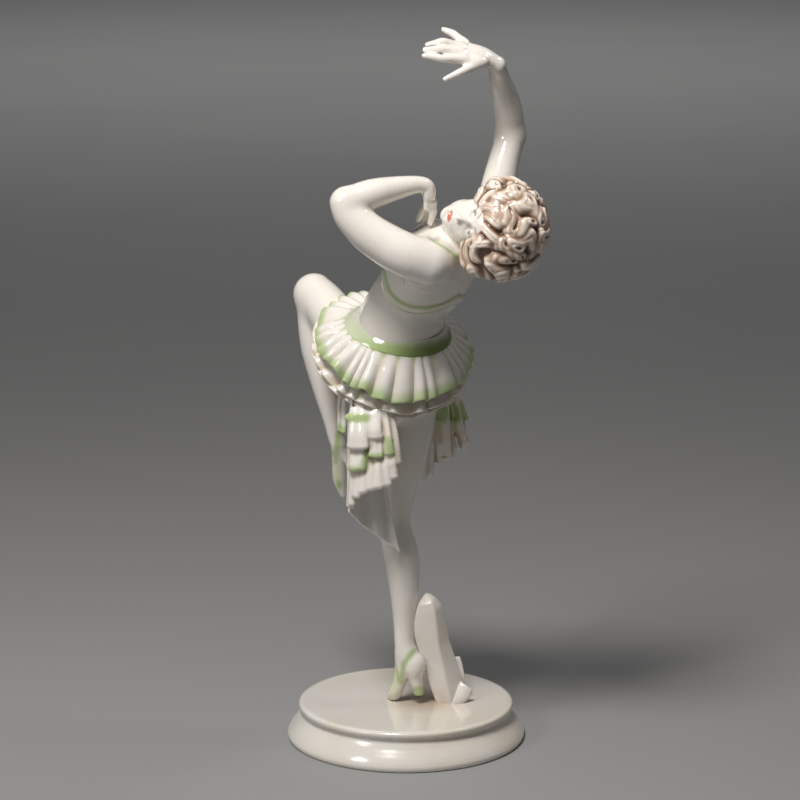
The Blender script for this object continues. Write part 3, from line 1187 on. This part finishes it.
LINING = [  # lines down the smooth lining behind the near tail, from its left edge to its right
    [(-22.1, -19, 150), (-22.6, -20, 133), (-22.8, -20.5, 116.2), (-23.2, -20.8, 102.3)],
    [(-19.8, -15.6, 149.5), (-20.2, -16.5, 132.2), (-20.2, -16.8, 111.1), (-19.7, -17, 97.7)],
    [(-15.8, -12.4, 149), (-16.1, -13.2, 131.4), (-15.3, -13.6, 107.7), (-14.1, -14, 92)],
    [(-11.8, -11, 149), (-12, -11.6, 131.1), (-10, -11.8, 105.6), (-8.3, -12.4, 87.5)],
    [(-9.4, -10.2, 149), (-9.5, -10.6, 130.8), (-6.9, -10.8, 105.3), (-2.3, -11.4, 82.7)],
]
knots = [Limb([(spot, 1, 1) for spot in line], steps=15).centres for line in LINING]
across = np.transpose(knots, (1, 0, 2))
points = np.array([Limb([(spot, 1, 1) for spot in row], steps=10).centres for row in across])
columns = points.shape[1]
waves = np.sin(np.linspace(0, 1, columns) * 17)
points[..., 1] += waves * np.linspace(0.1, 0.5, len(points))[:, None]
index = np.arange(points.shape[0] * columns).reshape(points.shape[:2])
faces = np.stack([index[:-1, :-1], index[1:, :-1], index[1:, 1:], index[:-1, 1:]], axis=-1).reshape(-1, 4)
lining = mesh_of("near_lining", points.reshape(-1, 3), faces, FRILL_GLAZE, {
    "trim": np.full(index.size, FAR), "open": np.full(index.size, 1.0),
})
thicken(lining, 1.1)
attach(lining, "root")
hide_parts("figurine")


# The prop behind the standing calf holds the figure up in the kiln. It is a rough-hewn block of
# paste with soft facets, and two small leaves of rolled paste are stuck to its foot.
RINGS = [  # height, x of the left edge, of the front ridge and of the right edge, and slant
    (14.5, 12.8, 19.2, 26.4, 0), (19, 11.2, 18.4, 26, 0), (24, 9.4, 17.4, 24.6, 0),
    (41.5, 4, 13.8, 18.8, 0), (46.5, 3.2, 13.3, 17.6, 0.3), (53.8, 2.8, 12.4, 15.4, 0.65),
    (59.8, 4.8, 10.4, 12.6, 0.35),
]


def prop_colour(tree, place):
    """Warm white, and a darker cream in patches."""
    patch = noise(tree, place, 55)
    return patch.ramp(0.3, 0.7).between(BODY_WHITE, (0.72, 0.67, 0.60, 1))


CROWN = (8.2, 0, 63.2)
SIDES = 5
prop_mesh = bmesh.new()
loops = []
for z, left, ridge, right, slant in RINGS:
    middle = (left + right) / 2
    corners = [(left, -5.2), (ridge, -7.6), (right, -1.5), (right - 2, 4.6), (left + 2, 4.6)]
    loops.append([
        prop_mesh.verts.new(np.array([x, y, z + slant * (x - middle)]) * MM) for x, y in corners
    ])
crown = prop_mesh.verts.new(np.array(CROWN) * MM)
for j in range(SIDES):
    k = (j + 1) % SIDES
    for lower, upper in zip(loops, loops[1:]):
        prop_mesh.faces.new((lower[j], lower[k], upper[k], upper[j]))
    prop_mesh.faces.new((loops[-1][j], loops[-1][k], crown))
prop_mesh.faces.new(loops[0][::-1])
shell = bpy.data.meshes.new("prop")
prop_mesh.to_mesh(shell)
prop_mesh.free()
PROP_GLAZE = glaze("prop_glaze", prop_colour)
shell.materials.append(PROP_GLAZE)
prop = bpy.data.objects.new("prop", shell)
bpy.context.collection.objects.link(prop)
bevel = prop.modifiers.new("soft_facets", "BEVEL")
bevel.width = 1.1 * MM
bevel.segments = 4
bevel.limit_method = "ANGLE"
bevel.angle_limit = math.radians(8)
prop.data.shade_smooth()
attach(prop, "root")
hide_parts("figurine")

LEAVES = [  # foot, tip, width, reach and fold; a reach below 0.8 makes the outline end blunt
    (point(22.9, -1, 14.5), point(22, 1, 34), 5.5, 0.8, 2.8),
    (point(18.6, -7.6, 14), point(25.6, -4, 22.8), 9, 0.62, 7),
]
for number, (foot, tip, width, reach, fold) in enumerate(LEAVES):
    spine = tip - foot
    across = unit(np.cross(spine, (-0.3, -1, 0.1)))
    points = np.array([
        foot + spine * w + across * width * (u - 0.5) * math.sin(math.pi * (0.1 + reach * w))
        + (0, fold * (u - 0.5) ** 2, 0)
        for w in np.linspace(0, 1, 9) for u in np.linspace(0, 1, 7)
    ])
    here = (np.arange(8)[:, None] * 7 + np.arange(6)).ravel()
    faces = np.stack([here, here + 1, here + 8, here + 7], axis=1)
    leaf = mesh_of("leaf_%d" % (number + 1), points, faces, PROP_GLAZE)
    thicken(leaf, 1.1, offset=0)
    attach(leaf, "root")
    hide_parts("figurine")


# The floor, the lamps and the camera: a plain floor, a round soft key lamp high in front on the
# left, two weak ones on the left and the right, and one over the floor far behind. The camera
# stands where the photograph was taken from.
FLOOR = bpy.data.materials.new("studio_floor")
FLOOR.use_nodes = True
tree = FLOOR.node_tree
patch = noise(tree, Wire.node(tree, "ShaderNodeTexCoord", out=3), 3, 2)
grey = patch.ramp(0.3, 0.7).between((0.30, 0.30, 0.30, 1), (0.31, 0.31, 0.308, 1))
floor_shader = tree.nodes["Principled BSDF"]
tree.links.new(grey.socket, floor_shader.inputs["Base Color"])
floor_shader.inputs["Roughness"].default_value = 0.7
bpy.ops.mesh.primitive_plane_add(size=24, location=(0, 0, -0.0002))
floor = bpy.context.object
floor.name = "floor"
floor.data.materials.append(FLOOR)


def lamp(name, place, target, size, power, colour):
    """A round soft lamp at a place, facing a target, both in metres."""
    data = bpy.data.lights.new(name, "AREA")
    data.shape = "DISK"
    data.size = size
    data.energy = power
    data.color = colour
    holder = bpy.data.objects.new(name, data)
    holder.location = place
    holder.rotation_euler = (Vector(target) - Vector(place)).to_track_quat("-Z", "Y").to_euler()
    bpy.context.collection.objects.link(holder)
    return holder


lamp("key", (-0.17, -0.34, 0.80), (0, -0.02, 0.2), 0.22, 5.6, (1, 0.97, 0.94))
lamp("left", (-0.62, -0.5, 0.62), (0, 0, 0.2), 0.26, 1.7, (1, 0.98, 0.96))
lamp("right", (0.44, 0.1, 0.78), (0, 0, 0.22), 0.1, 0.5, (1, 0.98, 0.96))
lamp("far floor", (0, 2.8, 2.6), (0, 5.0, 0), 1.5, 46, (1, 0.99, 0.98))

world = bpy.data.worlds.new("studio")
world.use_nodes = True
world.node_tree.nodes["Background"].inputs["Color"].default_value = (0.075, 0.075, 0.077, 1)
world.node_tree.nodes["Background"].inputs["Strength"].default_value = 1
bpy.context.scene.world = world

TARGET = Vector((-2.5, 0, 145.5)) * MM
ELEVATION = math.radians(12)
AWAY = 1165  # mm from the camera to its target
camera = bpy.data.objects.new("camera", bpy.data.cameras.new("camera"))
camera.data.sensor_width = 36
camera.data.lens = 126
camera.location = TARGET + Vector((0, -math.cos(ELEVATION), math.sin(ELEVATION))) * AWAY * MM
camera.rotation_euler = (TARGET - camera.location).to_track_quat("-Z", "Y").to_euler()
bpy.context.collection.objects.link(camera)
bpy.context.scene.camera = camera
bpy.context.scene.view_settings.view_transform = "Standard"
